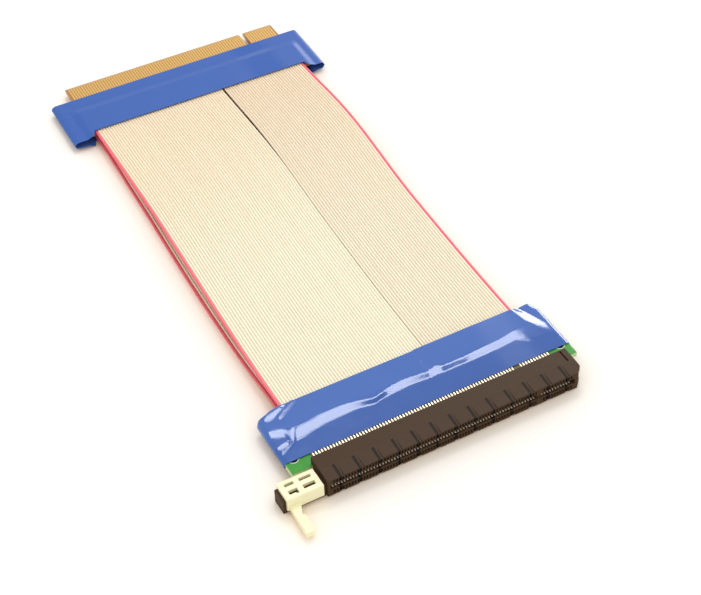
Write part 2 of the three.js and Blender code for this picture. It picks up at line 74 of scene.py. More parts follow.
# %% [markdown]
# ## One measuring frame for the whole cable
# A connector designer measures from the middle of the contact rows and from the mating face. The
# same frame is used here: x from the middle of the contacts, y from the slot's mouth, z from the
# table, in millimetres. Its origin comes from the housing's box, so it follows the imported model.

# %% The slot's own frame
HOUSING_RIGHT = 45.75
HOUSING_DEPTH = 10.6
SLOT_MIDDLE = 3.75
BOARD_HALF = 0.8
CONTACT_HALF_SPAN = 41.5
KEY_X = 30.0

housing_low, housing_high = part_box("slot_housing")
SLOT_ORIGIN = Vector((housing_high.x - HOUSING_RIGHT * MM, housing_low.y, 0))


def at(x, y, z):
    """A point in the slot's frame, in metres."""
    return SLOT_ORIGIN + Vector((x, y, z)) * MM


print("slot origin in mm:", [round(value / MM, 3) for value in SLOT_ORIGIN])

# %% The card edge's frame, turned a little on the table
EDGE_SHIFT = 4.3
EDGE_Y = 190.5
EDGE_YAW = math.radians(-1.2)
EDGE_MIDDLE = 2.6
EDGE_BODY_DEPTH = 20.3
EDGE_ORIGIN = at(EDGE_SHIFT, EDGE_Y, 0)


def to_edge_frame(points):
    """Points in millimetres from the card edge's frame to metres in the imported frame."""
    x, y, z = points[..., 0], points[..., 1], points[..., 2]
    turned_x = x * math.cos(EDGE_YAW) - y * math.sin(EDGE_YAW)
    turned_y = x * math.sin(EDGE_YAW) + y * math.cos(EDGE_YAW)
    return np.stack([turned_x, turned_y, z], axis=-1) * MM + np.array(EDGE_ORIGIN)


def to_slot_frame(points):
    """Points in millimetres from the slot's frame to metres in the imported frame."""
    return np.asarray(points) * MM + np.array(SLOT_ORIGIN)


edge_low, edge_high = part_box("edge_board")
print("card edge box in mm:", [round(v / MM, 1) for v in (*edge_low, *edge_high)])

# %% [markdown]
# ## Camera
# The camera stands where the photographer stood: left of the cable and in front of the slot, 44
# degrees above the table. It was fitted to the slot's 83 mm row of contacts, so no shift is
# needed, and a long lens keeps the boards nearly parallel.

# %% Camera
CAMERA_PLACE = (-184.77, -296.41, 395.93)
CAMERA_ANGLES = (46.1603, 1.6813, -28.6142)
LENS_MM = 89.25

camera_data = bpy.data.cameras.new("camera")
camera_data.lens = LENS_MM
camera_data.sensor_width = 36.0
camera = bpy.data.objects.new("camera", camera_data)
camera.location = at(*CAMERA_PLACE)
camera.rotation_euler = Euler([math.radians(angle) for angle in CAMERA_ANGLES])
bpy.context.scene.collection.objects.link(camera)
bpy.context.scene.camera = camera
bpy.context.scene.view_settings.view_transform = "Standard"
print("camera at", tuple(round(value, 3) for value in camera.location))

# %% [markdown]
# ## Light
# The photo is high-key: a white table in a white room, with hardly a shadow, so a white world
# gives most of the light. A small soft box above and behind adds a faint warm shadow. Two cards
# light no matt surface and show only as reflections in the glossy tape: one overhead, which the
# slopes that face the camera mirror, and one low on the right for the slopes that face that way.

# %% Shader helper


def add(tree, kind, inputs=None, **settings):
    """Adds a shader node, sets its properties, and sets or links its inputs."""
    made = tree.nodes.new(kind)
    for name, value in settings.items():
        setattr(made, name, value)
    for name, value in (inputs or {}).items():
        if isinstance(value, bpy.types.NodeSocket):
            tree.links.new(value, made.inputs[name])
        else:
            made.inputs[name].default_value = value
    return made


# %% World, soft box and cards
WORLD_STRENGTH = 1.0
WORLD_COLOUR = (1.0, 0.985, 0.955, 1.0)
SEEN_COLOUR = (1.1, 1.1, 1.1, 1.0)
SOFT_BOX_RADIANCE = 9.0
CARD_RADIANCE = 10.5

world = bpy.data.worlds.new("studio")
bpy.context.scene.world = world
world.use_nodes = True
world_tree = world.node_tree
world_tree.nodes.clear()
seen = add(world_tree, "ShaderNodeLightPath").outputs["Is Camera Ray"]
white = add(world_tree, "ShaderNodeMix", {0: seen, 6: WORLD_COLOUR, 7: SEEN_COLOUR},
            data_type="RGBA")
sky = add(world_tree, "ShaderNodeBackground", {"Color": white.outputs[2],
          "Strength": WORLD_STRENGTH})
add(world_tree, "ShaderNodeOutputWorld", {"Surface": sky.outputs[0]})


def panel(name, place, size, radiance, colour, facing=(0, 0, 0)):
    """A rectangular light of an even radiance that faces a point on the table."""
    data = bpy.data.lights.new(name, "AREA")
    data.shape = "RECTANGLE"
    data.size, data.size_y = size
    data.energy = radiance * math.pi * size[0] * size[1]
    data.color = colour
    made = bpy.data.objects.new(name, data)
    made.location = place
    made.rotation_euler = (Vector(facing) - Vector(place)).to_track_quat("-Z", "Y").to_euler()
    bpy.context.scene.collection.objects.link(made)
    return made


panel("soft_box", (0.16, 0.22, 0.62), (0.16, 0.16), SOFT_BOX_RADIANCE, (0.96, 1.0, 1.04))
for name, place, size, facing in (
        ("overhead_card", (0.20, -0.17, 0.66), (0.80, 0.50), (0.20, -0.17, 0)),
        ("side_card", (0.60, 0.38, 0.28), (0.50, 0.40), (0, -0.07, 0))):
    card = panel(name, place, size, CARD_RADIANCE, (1.0, 1.0, 1.0), facing)
    card.visible_diffuse = False

# %% [markdown]
# ## Colours
# Colours are written as sRGB hex values, as one reads them off a paint card, and turned to the
# linear values that shaders expect by one function.

# %% Colour and material helpers


def linear(hex_colour):
    """An sRGB hex colour as linear RGBA."""
    parts = [int(hex_colour[i:i + 2], 16) / 255 for i in (1, 3, 5)]
    return (*[p / 12.92 if p <= 0.04045 else ((p + 0.055) / 1.055) ** 2.4 for p in parts], 1.0)


def new_material(name, **sockets):
    """A material with one Principled shader, with constants set on its own sockets."""
    made = bpy.data.materials.new(name)
    made.use_nodes = True
    shader = made.node_tree.nodes["Principled BSDF"]
    for socket, value in sockets.items():
        shader.inputs[socket.replace("_", " ")].default_value = value
    return made, made.node_tree, shader


def slot_millimetres(tree, origin=SLOT_ORIGIN):
    """X, Y and Z in millimetres from an origin, as sockets, from the object's own coordinates."""
    place = add(tree, "ShaderNodeTexCoord").outputs["Object"]
    moved = add(tree, "ShaderNodeVectorMath", {0: place, 1: origin}, operation="SUBTRACT")
    scaled = add(tree, "ShaderNodeVectorMath", {0: moved.outputs[0], "Scale": 1 / MM},
                 operation="SCALE")
    parts = add(tree, "ShaderNodeSeparateXYZ", {0: scaled.outputs[0]})
    return scaled.outputs[0], parts.outputs[0], parts.outputs[1], parts.outputs[2]


# %% Masks by place


def stripes(tree, x, half):
    """1 within half a stripe of each contact position, which lie at half millimetres."""
    away = add(tree, "ShaderNodeMath", {0: x, 1: 0.5}, operation="PINGPONG")
    return add(tree, "ShaderNodeMath", {0: away.outputs[0], 1: 0.5 - half},
               operation="GREATER_THAN").outputs[0]


def between(tree, value, low, high):
    """1 where a value lies between two limits, 0 elsewhere."""
    middle, half = (low + high) / 2, (high - low) / 2
    return add(tree, "ShaderNodeMath", {0: value, 1: middle, 2: half},
               operation="COMPARE").outputs[0]


def both(tree, first, second, operation="MULTIPLY"):
    """Two masks or numbers joined by one Math operation, as a socket."""
    return add(tree, "ShaderNodeMath", {0: first, 1: second}, operation=operation).outputs[0]


# %% [markdown]
# ## Floor
# The table is a white sheet, so bright that it burns out to white. It is matt and slightly off
# white, and what shadow there is stays on it. That shadow is warm in the photo, so the sheet is
# tinted a little where the cable hides the sky from it.

# %% Floor
FLOOR_HALF = 3.0
FLOOR_DROP = 0.0001
SHADE_REACH = 0.03

floor_material, floor_tree, floor_shader = new_material(
    "white_table", Roughness=0.9)
open_sky = add(floor_tree, "ShaderNodeAmbientOcclusion", {"Distance": SHADE_REACH}, samples=8)
sheet = add(floor_tree, "ShaderNodeMix", {0: open_sky.outputs["AO"], 6: linear("#FFE4C4"),
            7: linear("#FBFAF7")}, data_type="RGBA")
floor_tree.links.new(sheet.outputs[2], floor_shader.inputs["Base Color"])
floor_mesh = bpy.data.meshes.new("floor")
floor_mesh.from_pydata(
    [(-FLOOR_HALF, -FLOOR_HALF, 0), (FLOOR_HALF, -FLOOR_HALF, 0),
     (FLOOR_HALF, FLOOR_HALF, 0), (-FLOOR_HALF, FLOOR_HALF, 0)], [], [(0, 1, 2, 3)])
floor = bpy.data.objects.new("floor", floor_mesh)
floor_mesh.materials.append(floor_material)
floor.location.z = -FLOOR_DROP
bpy.context.scene.collection.objects.link(floor)
floor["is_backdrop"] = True

# %% [markdown]
# ## A mesh from rings
# Ribbons and tape are both long forms whose section changes little along their length, so one
# helper makes them: a list of rings of points, skinned with quads, with flat ends where wanted.

# %% Ring skin


def ring_mesh(name, rings, capped=True, material=None, uv=None):
    """Skins rings of equal point count. A capped ring is its top row, then its bottom row back."""
    count = len(rings[0])
    vertices = np.concatenate(rings)
    faces = []
    for j in range(len(rings) - 1):
        here, there = j * count, (j + 1) * count
        for i in range(count):
            k = (i + 1) % count
            faces.append((here + i, here + k, there + k, there + i))
    if capped:
        last = (len(rings) - 1) * count
        for i in range(count // 2 - 1):
            a, b, c, d = i, i + 1, count - 2 - i, count - 1 - i
            faces.append((d, c, b, a))
            faces.append((last + a, last + b, last + c, last + d))
    mesh = bpy.data.meshes.new(name)
    mesh.from_pydata(vertices.tolist(), [], faces)
    if uv is not None:
        layer = mesh.uv_layers.new(name="along")
        corner = np.empty(len(mesh.loops), dtype=np.int32)
        mesh.loops.foreach_get("vertex_index", corner)
        layer.data.foreach_set("uv", uv[corner].astype(np.float32).ravel())
    mesh.validate()
    shaper = bmesh.new()
    shaper.from_mesh(mesh)
    bmesh.ops.recalc_face_normals(shaper, faces=shaper.faces)
    shaper.to_mesh(mesh)
    shaper.free()
    mesh.polygons.foreach_set("use_smooth", [True] * len(mesh.polygons))
    made = bpy.data.objects.new(name, mesh)
    bpy.context.scene.collection.objects.link(made)
    if material is not None:
        mesh.materials.append(material)
    return made


def smoothstep(value):
    """0 below 0 and 1 above 1, with a soft step between."""
    value = np.clip(value, 0.0, 1.0)
    return value * value * (3 - 2 * value)


def hump(value, centre, reach):
    """1 at the centre and 0 beyond its reach, with no kink."""
    away = np.minimum(np.abs(value - centre) / reach, 1.0)
    return np.cos(away * math.pi / 2) ** 2


# %% [markdown]
# ## Ribbon cable
# Grey ribbon cable is stranded wire moulded side by side in PVC: a rib over each wire and a thin
# web between. One wire lies on each millimetre, 51 in the wide ribbon and 33 in the narrow one,
# in two layers. A plain sheet with a stripe texture would look flat from the side, so each rib is
# modelled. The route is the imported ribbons' own to within a millimetre: the lower layer bows a
# little less to the left here, as it does in the photo.

# %% Ribbon route
PITCH = 1.0
WIDE_WIRES = 51
NARROW_WIRES = 33
WIRE_RADIUS = 0.425
WEB_HALF = 0.16
TAPE_REAR = 34.8
RIBBON_RUN = 155.7
RIBBON_START = 26.0
RIBBON_END = EDGE_Y + 12.0
RIBBON_WIDTH = (WIDE_WIRES + NARROW_WIRES) * PITCH
SEAT = BOARD_HALF + 0.1 + WIRE_RADIUS
RIBBON_SPLIT = 0.05
RIBBON_SPREAD = 0.6
UPPER_LEFT_LIFT = 0.9
UPPER_RIGHT_LIFT = 2.7
LOWER_SLIDE = 0.8
LOWER_HEIGHT = WIRE_RADIUS + 0.02
GAP_OPENS_AT = 0.62
GAP_OPENS_OVER = 0.25
RIGHT_LIFT_AT = 0.72
RIGHT_LIFT_REACH = 0.3
DROP_RUN = 0.22


def ribbon_point(x, y, side, spread):
    """Where the middle of a ribbon lies at x across it and y along it, in the slot's frame."""
    run = np.clip((y - TAPE_REAR) / RIBBON_RUN, 0, 1)
    blend = smoothstep(run)
    across = x / RIBBON_WIDTH + 0.5
    seated = SLOT_MIDDLE + side * SEAT + (EDGE_MIDDLE - SLOT_MIDDLE) * blend
    out_y = y + blend * math.tan(EDGE_YAW) * x
    parted = smoothstep((run - GAP_OPENS_AT) / GAP_OPENS_OVER)
    out_x = x + blend * EDGE_SHIFT + spread * (RIBBON_SPLIT + parted * RIBBON_SPREAD) / 2
    if side > 0:
        left = UPPER_LEFT_LIFT * hump(run, 0.5, 0.5)
        right = UPPER_RIGHT_LIFT * hump(run, RIGHT_LIFT_AT, RIGHT_LIFT_REACH)
        height = seated + left + (right - left) * across
    else:
        down = np.minimum(smoothstep(run / DROP_RUN), smoothstep((1 - run) / DROP_RUN))
        height = seated + (LOWER_HEIGHT - seated) * down
        out_x = out_x - LOWER_SLIDE * hump(run, 0.5, 0.5)
    return np.stack([out_x, out_y, height], axis=-1)


# %% Ribbon bodies
RIB_STEPS = (-0.5, -0.385, -0.3, -0.12, 0.12, 0.3, 0.385)
RIBBON_ROWS = 84
EDGE_TRIM = 0.06


def ribbon(name, first, wires, side, spread, material):
    """One ribbon of so many wires, from its first wire's number, in the upper or lower layer."""
    offsets = np.array([i + 0.5 + step for i in range(wires) for step in RIB_STEPS] + [wires])
    rib = np.abs(((offsets % 1.0) - 0.5))
    rise = np.sqrt(np.maximum(WIRE_RADIUS ** 2 - rib ** 2, WEB_HALF ** 2))
    offsets[0] += EDGE_TRIM
    offsets[-1] -= EDGE_TRIM
    across = (offsets + first) * PITCH - RIBBON_WIDTH / 2
    rings = []
    uv = []
    for y in np.linspace(RIBBON_START, RIBBON_END, RIBBON_ROWS):
        middle = ribbon_point(across, np.full_like(across, y), side, spread)
        top, bottom = middle.copy(), middle.copy()
        top[:, 2] += rise
        bottom[:, 2] -= rise
        rings.append(to_slot_frame(np.concatenate([top, bottom[::-1]])))
        along = np.full(len(offsets) * 2, y)
        uv.append(np.stack([np.concatenate([offsets, offsets[::-1]]), along], axis=-1))
    made = ring_mesh(name, rings, material=material, uv=np.concatenate(uv))
    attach(made, "root")
    return made


# %% [markdown]
# ## Ribbon finish
# The insulation is extruded PVC in warm light grey, satin and a little uneven from wire to wire.
# The webs between the ribs are painted a darker brown, a painted shade which reads as thin brown
# lines. The outermost wire of each outer edge is dyed red to mark wire one. Seen flat on, the
# ribs' satin tops and the painted shade in the webs give the fine stripes. The narrow ribbon is
# from a slightly darker batch than the wide one.

# %% Ribbon material
WIDE_BATCH = (1.0, 1.0, 1.0, 1.0)
NARROW_BATCH = (0.93, 0.905, 0.9, 1.0)


def ribbon_material(name, wires, red_from_left, tint):
    """Satin PVC in ribs, by wire number across and millimetres along, with one red edge."""
    made, tree, shader = new_material(name, Roughness=0.5, IOR=1.53,
                                      Specular_IOR_Level=0.35)
    coat = add(tree, "ShaderNodeUVMap", uv_map="along")
    parts = add(tree, "ShaderNodeSeparateXYZ", {0: coat.outputs[0]})
    wire, along = parts.outputs[0], parts.outputs[1]
    groove = add(tree, "ShaderNodeMath", {0: wire, 1: 0.5}, operation="PINGPONG")
    shade = add(tree, "ShaderNodeMapRange", {0: groove.outputs[0], 1: 0.04, 2: 0.24},
                interpolation_type="SMOOTHSTEP")
    number = add(tree, "ShaderNodeMath", {0: wire}, operation="FLOOR")
    wire_noise = add(tree, "ShaderNodeTexWhiteNoise", {"W": number.outputs[0]},
                     noise_dimensions="1D")
    stretch = add(tree, "ShaderNodeVectorMath", {0: coat.outputs[0], 1: (0.5, 0.02, 1.0)},
                  operation="MULTIPLY")
    drift = add(tree, "ShaderNodeTexNoise",
                {"Vector": stretch.outputs[0], "Scale": 1.0, "Detail": 3.0})
    rib = add(tree, "ShaderNodeMix", {0: wire_noise.outputs[0], 6: linear("#F0E7CC"),
              7: linear("#F9F1D9")}, data_type="RGBA")
    worn = add(tree, "ShaderNodeMix", {0: drift.outputs[0], 6: rib.outputs[2],
               7: linear("#EEE5CA")}, data_type="RGBA")
    # Painted shade: the webs between the ribs are mixed towards a darker brown.
    painted_web_shade = add(tree, "ShaderNodeMix", {0: shade.outputs[0], 6: linear("#CDBE9C"),
                7: worn.outputs[2]}, data_type="RGBA")
    far = add(tree, "ShaderNodeMapRange", {0: along, 1: 90.0, 2: 190.0})
    warm = add(tree, "ShaderNodeMix", {0: far.outputs[0], 6: (1, 1, 1, 1), 7: linear("#FDF2EE")},
               data_type="RGBA")
    tinted = add(tree, "ShaderNodeMix", {0: 1.0, 6: painted_web_shade.outputs[2], 7: warm.outputs[2]},
                 data_type="RGBA", blend_type="MULTIPLY")
    batch = add(tree, "ShaderNodeMix", {0: 1.0, 6: tinted.outputs[2], 7: tint},
                data_type="RGBA", blend_type="MULTIPLY")
    edge_at = 0.0 if red_from_left else float(wires)
    inward = 1.0 if red_from_left else -1.0
    depth = add(tree, "ShaderNodeMath", {0: wire, 1: inward, 2: -edge_at * inward},
                operation="MULTIPLY_ADD")
    red = add(tree, "ShaderNodeMapRange", {0: depth.outputs[0], 1: 1.0, 2: 1.25, 3: 1.0, 4: 0.0},
              interpolation_type="SMOOTHSTEP")
    dyed = add(tree, "ShaderNodeMix", {0: red.outputs[0], 6: batch.outputs[2],
               7: linear("#EA6272")}, data_type="RGBA")
    tree.links.new(dyed.outputs[2], shader.inputs["Base Color"])
    return made


wide_finish = ribbon_material("pvc_ribbon_wide", WIDE_WIRES, True, WIDE_BATCH)
narrow_finish = ribbon_material("pvc_ribbon_narrow", NARROW_WIRES, False,
                                NARROW_BATCH)

for layer, side in (("upper", 1), ("lower", -1)):
    for width, first, wires, spread, finish in (
            ("wide", 0, WIDE_WIRES, -1, wide_finish),
            ("narrow", WIDE_WIRES, NARROW_WIRES, 1, narrow_finish)):
        piece = ribbon(f"ribbed_{layer}_{width}", first, wires, side, spread, finish)
        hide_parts(f"ribbon_{layer}_{width}")
        print(piece.name, len(piece.data.polygons), "faces")

# %% [markdown]
# ## Tape
# The tape is glossy PVC film, wrapped once round each joint and pressed down by hand. It bridges
# from the board to the ribbon, it creases at the folded ends, and the row of soldered wire ends
# pushes up a ridge that catches the light. Each wrap is a fine sleeve round the board, with the
# ridge and the creases moved into it point by point. The film on the slot is glossy, so its
# slopes flash white; a patch of it is rubbed dull, and so is all of the film on the card end.

# %% Tape sleeve
FILM = 0.18


def rough(x, y, size, seed):
    """Smooth noise from -1 to 1 on a grid of points, with bumps of about that size."""
    flat = [noise.noise(Vector((a / size, b / size, seed))) for a, b in zip(x.ravel(), y.ravel())]
    return np.array(flat).reshape(x.shape)


def crease(x, y, path, width):
    """1 along a path of points, fading across it over a width, and 0 far from it."""
    nearest = np.full(x.shape, np.inf)
    for (ax, ay), (bx, by) in zip(path, path[1:]):
        dx, dy = bx - ax, by - ay
        run = np.clip(((x - ax) * dx + (y - ay) * dy) / (dx * dx + dy * dy), 0, 1)
        nearest = np.minimum(nearest, np.hypot(x - ax - run * dx, y - ay - run * dy))
    return np.maximum(1 - nearest / width, 0)


def eased(value, corner=0.12):
    """A straight ramp from 0 to 1 with only its corners rounded."""
    return np.mean([np.clip(value + shift, 0, 1) for shift in np.linspace(-corner, corner, 5)],
                   axis=0)


def through(at_value, points):
    """A line through measured points, read at a value."""
    points = np.array(points)
    return np.interp(at_value, points[:, 0], points[:, 1])


def tape_sleeve(name, columns, rows, place, height, folds, middle, to_frame, material):
    """A closed wrap round a board. place(u, v) gives x and y for u from -1 to 1 across and
    v from 0 to 1 along, height(x, y, face) the rise from the board's middle, and folds the width
    over which each end rounds off."""
    u = np.linspace(-1, 1, columns)[None, :].repeat(len(rows), axis=0)
    v = np.array(rows)[:, None].repeat(columns, axis=1)
    faces = []
    for face in (1, -1):
        x, y = place(u, v)
        left = np.clip(1 - (x - x[:, :1]) / folds[0], 0, 1)
        right = np.clip(1 - (x[:, -1:] - x) / folds[1], 0, 1)
        round_off = np.sqrt(1 - np.maximum(left, right) ** 2)
        rise = height(x, y, face) * round_off
        faces.append(np.stack([x, y, middle + face * rise], axis=-1))
    top, low = faces
    rings = [to_frame(np.concatenate([top[j], low[j][-2:0:-1]])) for j in range(len(rows))]
    made = ring_mesh(name, rings, capped=False, material=material)
    film = made.modifiers.new("film", "SOLIDIFY")
    film.thickness = FILM * MM
    film.offset = -1.0
    corners = made.modifiers.new("corners", "EDGE_SPLIT")
    corners.split_angle = math.radians(55)
    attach(made, "root")
    return made


# %% Tape finish
RUBBED_X = 33.0
RUBBED_CORE = 3.0
RUBBED_REACH = 9.0
RUBBED_ROUGHNESS = 0.22
LIGHTER_FROM = 21.0
LIGHTER_TO = 26.0


def tape_material(name, roughness, gloss, dark, light):
    """Blue film from a dark to a light shade, lighter at the rear, with a rubbed patch."""
    made, tree, shader = new_material(name, Roughness=roughness, IOR=1.53,
                                      Specular_IOR_Level=gloss)
    place, x, y, _ = slot_millimetres(tree)
    mottle = add(tree, "ShaderNodeTexNoise", {"Vector": place, "Scale": 0.09, "Detail": 4.0})
    rear = add(tree, "ShaderNodeMapRange", {0: y, 1: LIGHTER_FROM, 2: LIGHTER_TO})
    shade = both(tree, both(tree, rear.outputs[0], 0.7), both(tree, mottle.outputs[0], 0.3), "ADD")
    blue = add(tree, "ShaderNodeMix", {0: shade, 6: linear(dark), 7: linear(light)},
               data_type="RGBA")
    tree.links.new(blue.outputs[2], shader.inputs["Base Color"])
    beside = add(tree, "ShaderNodeMath", {0: x, 1: RUBBED_X}, operation="SUBTRACT").outputs[0]
    away = add(tree, "ShaderNodeMath", {0: beside}, operation="ABSOLUTE").outputs[0]
    dulled = add(tree, "ShaderNodeMapRange", {0: away, 1: RUBBED_CORE, 2: RUBBED_REACH,
                 3: RUBBED_ROUGHNESS, 4: roughness}, interpolation_type="SMOOTHSTEP")
    tree.links.new(dulled.outputs[0], shader.inputs["Roughness"])
    fine = add(tree, "ShaderNodeTexNoise", {"Vector": place, "Scale": 0.7, "Detail": 3.0})
    lift = add(tree, "ShaderNodeBump", {"Height": fine.outputs[0], "Distance": 0.02 * MM})
    tree.links.new(lift.outputs[0], shader.inputs["Normal"])
    return made


slot_tape_finish = tape_material("glossy_pvc_tape", 0.14, 0.5, "#2454A4", "#3E67B6")
edge_tape_finish = tape_material("rubbed_pvc_tape", 0.45, 0.16,
                                 "#2F57A8", "#3B62B0")

# %% Slot end wrap
BOARD_SHIFT = -0.35
SLOT_TAPE_HALF = 50.7
SLOT_TAPE_FRONT = 14.0
OVER_RIBBON = 2.35
OVER_TAILS = 1.22
OVER_BOARD = 1.2
UNDER_BOARD = 1.5
UNDER_SWELL = 0.85
SHOULDER_X = 46.5
RAMP_FOOT = [(-51, 25.5), (-48.4, 24.6), (-45.7, 23.2), (-44.1, 20.6), (-40.2, 20.9),
             (-38.3, 21.5), (-32.8, 22.5), (-21.4, 22.8), (-15.5, 21.7), (-13.1, 22.4),
             (-2.6, 23.2), (3.8, 22.8), (10.4, 22.7), (20.3, 22.6), (29.9, 22.8), (36, 23.2),
             (40, 20.5), (51, 19.5)]
RAMP_TOP = [(-51, 27.4), (-47.4, 26.9), (-44.4, 25.8), (-42.4, 24.2), (-36.7, 24.5),
            (-33.4, 25.1), (-25.5, 25.3), (-20.5, 24.4), (-15.2, 23.0), (-13.0, 23.6),
            (-8.7, 24.8), (-4.0, 25.2), (4.2, 24.4), (7.5, 25.5), (9.3, 24.3), (17.6, 24.3),
            (25.3, 24.9), (30.9, 25.1), (36, 26.2),
            (40, 27), (51, 27)]
RIGHT_FOOT = [(14, 49.5), (19.3, 48.6), (24.6, 48.2), (27.8, 46.9), (32, 45.4), (35.1, 43.8)]
RIGHT_TOP = [(14, 47.5), (20.4, 46.5), (21.5, 45.5), (25.7, 44.1), (28.2, 43.0), (35, 41.6)]
SLOT_TAPE_REAR = [(-51, 33.0), (-48.5, 33.2), (-46.4, 34.2), (-43.2, 34.6), (-40, 34.8),
                  (4.9, 34.6), (5.5, 34.9), (42, 34.8), (48, 35.4), (51, 35.2)]
RIDGES = [([(-47.6, 32.6), (-42.2, 33.8)], 1.9, 0.6), ([(-44.2, 30.6), (-37.4, 34.6)], 0.9, 0.3),
          ([(-50.3, 20.6), (-46.4, 21.4)], 1.2, 0.4)]
VALLEYS = [([(-42.3, 24.2), (-44.4, 20.3), (-49.9, 17.0)], 0.6, 0.22),
           ([(4.9, 29.3), (5.0, 26.1), (4.2, 21.6)], 0.35, 0.14)]


def slot_tape_place(u, v):
    """x and y on the slot wrap, which narrows behind the board."""
    x = u * SLOT_TAPE_HALF + BOARD_SHIFT
    y = SLOT_TAPE_FRONT + v * (through(x, SLOT_TAPE_REAR) - SLOT_TAPE_FRONT)
    return x * (1 - 0.022 * smoothstep((y - 31.5) / 3)), y


def slot_tape_height(x, y, face):
    """The film's rise over the board, up the ramp behind the solder and over the ribbons."""
    if face < 0:
        shoulder = smoothstep((SHOULDER_X - np.abs(x)) / 3.5)
        ramp = smoothstep((y - 17.5) / 4.0)
        return UNDER_BOARD + UNDER_SWELL * shoulder * ramp + 0.05 * rough(x, y, 9.0, 4.0)
    foot, top = through(x, RAMP_FOOT), through(x, RAMP_TOP)
    front = eased((y - foot) / (top - foot))
    inner, outer = through(y, RIGHT_TOP), through(y, RIGHT_FOOT)
    right = eased((outer - x) / (outer - inner))
    left = eased((x + 51) / 8.5)
    low = OVER_BOARD + (OVER_TAILS - OVER_BOARD) * smoothstep((45 - np.abs(x)) / 2)
    rise = low + (OVER_RIBBON - low) * front * right * (0.7 + 0.3 * left)
    for path, width, height in RIDGES:
        rise = rise + height * crease(x, y, path, width)
    for path, width, depth in VALLEYS:
        rise = rise - depth * crease(x, y, path, width)
    return rise + 0.035 * rough(x, y, 8.0, 1.0) + 0.018 * rough(x, y, 2.6, 6.0)


near_front = np.concatenate([np.linspace(0, 0.28, 12), np.linspace(0.3, 0.62, 40),
                             np.linspace(0.64, 1, 28)])
slot_wrap = tape_sleeve("slot_wrap", 244, near_front, slot_tape_place, slot_tape_height,
                        (1.8, 1.3), SLOT_MIDDLE, to_slot_frame, slot_tape_finish)
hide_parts("slot_tape")
print(slot_wrap.name, len(slot_wrap.data.polygons), "faces")

# %% Card end wrap
EDGE_TAPE_HALF = 50.6
EDGE_BODY_SHIFT = -0.7
EDGE_TAPE_END = EDGE_BODY_DEPTH + 0.9
EAR_LENGTH = 3.3
HEM = 0.6
EAR_X = 42.3
EAR_TURN = 1.4
EDGE_OVER_BOARD = 1.4
EDGE_SWELL = 0.95
EDGE_CREASES = ([(-49, 16), (-45.5, 15)], [(-49, 12.5), (-46, 12)], [(-48.5, 8), (-46, 10)])


def edge_tape_place(u, v):
    """x and y on the card end wrap, with an ear beside the ribbons at each end."""
    x = u * EDGE_TAPE_HALF + EDGE_BODY_SHIFT
    ear = smoothstep((np.abs(x) - EAR_X) / EAR_TURN)
    start = -HEM - (EAR_LENGTH - HEM) * ear
    return x, start + v * (EDGE_TAPE_END - start)


def edge_tape_height(x, y, face):
    """The film's rise over the ribbons, down to the board towards the fingers."""
    shoulder = smoothstep((SHOULDER_X - np.abs(x)) / 3.0)
    ramp = eased((15.5 - y) / 3.5)
    rise = EDGE_OVER_BOARD + EDGE_SWELL * shoulder * ramp
    if face > 0:
        for path in EDGE_CREASES:
            rise = rise + 0.22 * crease(x, y, path, 0.9)
    return rise + 0.05 * rough(x, y, 9.0, 8.0 + face)


edge_wrap = tape_sleeve("edge_wrap", 220, np.linspace(0, 1, 60), edge_tape_place,
                        edge_tape_height, (2.0, 1.6), EDGE_MIDDLE, to_edge_frame,
                        edge_tape_finish)
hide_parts("edge_tape")
print(edge_wrap.name, len(edge_wrap.data.polygons), "faces")

# %% [markdown]
# ## Slot housing
# The housing is one glass-filled nylon moulding, dark brown-black and nearly matt, with a painted
# deep shade in the grooves between its pads. The contacts pressed into it share its mesh, so the
# finish tells them apart by place: within a quarter of a millimetre of a contact's middle, in
# the cavities or behind the housing, the surface is plated metal.

# %% Glass-filled nylon with plated contacts
CONTACT_HALF = 0.24
GROOVE_START = -39.8
GROOVE_PITCH = 6.58
GROOVE_SHADE = 1.0
PAD_ROW_RIGHT = 43.9
PAD_DEPTH = 4.85
CONTACT_ROW_HALF = 42.2
KEY_HALF = 1.1
CAVITY_FRONT = 0.9
CAVITY_REAR = 7.4
CAVITY_HALF = 2.7
TAILS_REAR = 30.0

nylon, tree, shader = new_material("glass_filled_nylon", Roughness=0.5, IOR=1.53,
                                   Specular_IOR_Level=0.05)
place, x, y, z = slot_millimetres(tree)
inside = both(tree, between(tree, y, CAVITY_FRONT, CAVITY_REAR),
              between(tree, z, SLOT_MIDDLE - CAVITY_HALF, SLOT_MIDDLE + CAVITY_HALF))
behind = both(tree, between(tree, y, HOUSING_DEPTH + 0.02, TAILS_REAR), inside, "MAXIMUM")
beside_key = both(tree, 1.0, between(tree, x, KEY_X - KEY_HALF, KEY_X + KEY_HALF), "SUBTRACT")
row = both(tree, between(tree, x, -CONTACT_ROW_HALF, CONTACT_ROW_HALF), beside_key)
metal = both(tree, both(tree, stripes(tree, x, CONTACT_HALF), row), behind)
grain = add(tree, "ShaderNodeTexNoise", {"Vector": place, "Scale": 1.6, "Detail": 6.0})
brown = add(tree, "ShaderNodeMix", {0: grain.outputs[0], 6: linear("#3F2F23"),
            7: linear("#503C2B")}, data_type="RGBA")
phase = add(tree, "ShaderNodeMath", {0: both(tree, x, -GROOVE_START, "ADD"), 1: GROOVE_PITCH},
            operation="FLOORED_MODULO").outputs[0]
pad_row = both(tree, between(tree, x, GROOVE_START - 0.1, PAD_ROW_RIGHT),
               between(tree, y, -0.1, PAD_DEPTH))
# Painted shade: the grooves between the pads are coloured near black.
groove = both(tree, between(tree, phase, -0.05, GROOVE_SHADE), pad_row)
painted_groove_shade = add(tree, "ShaderNodeMix", {0: groove, 6: brown.outputs[2], 7: linear("#221A15")},
             data_type="RGBA")
plated = add(tree, "ShaderNodeMix", {0: metal, 6: painted_groove_shade.outputs[2], 7: linear("#D9CDB8")},
             data_type="RGBA")
tree.links.new(plated.outputs[2], shader.inputs["Base Color"])
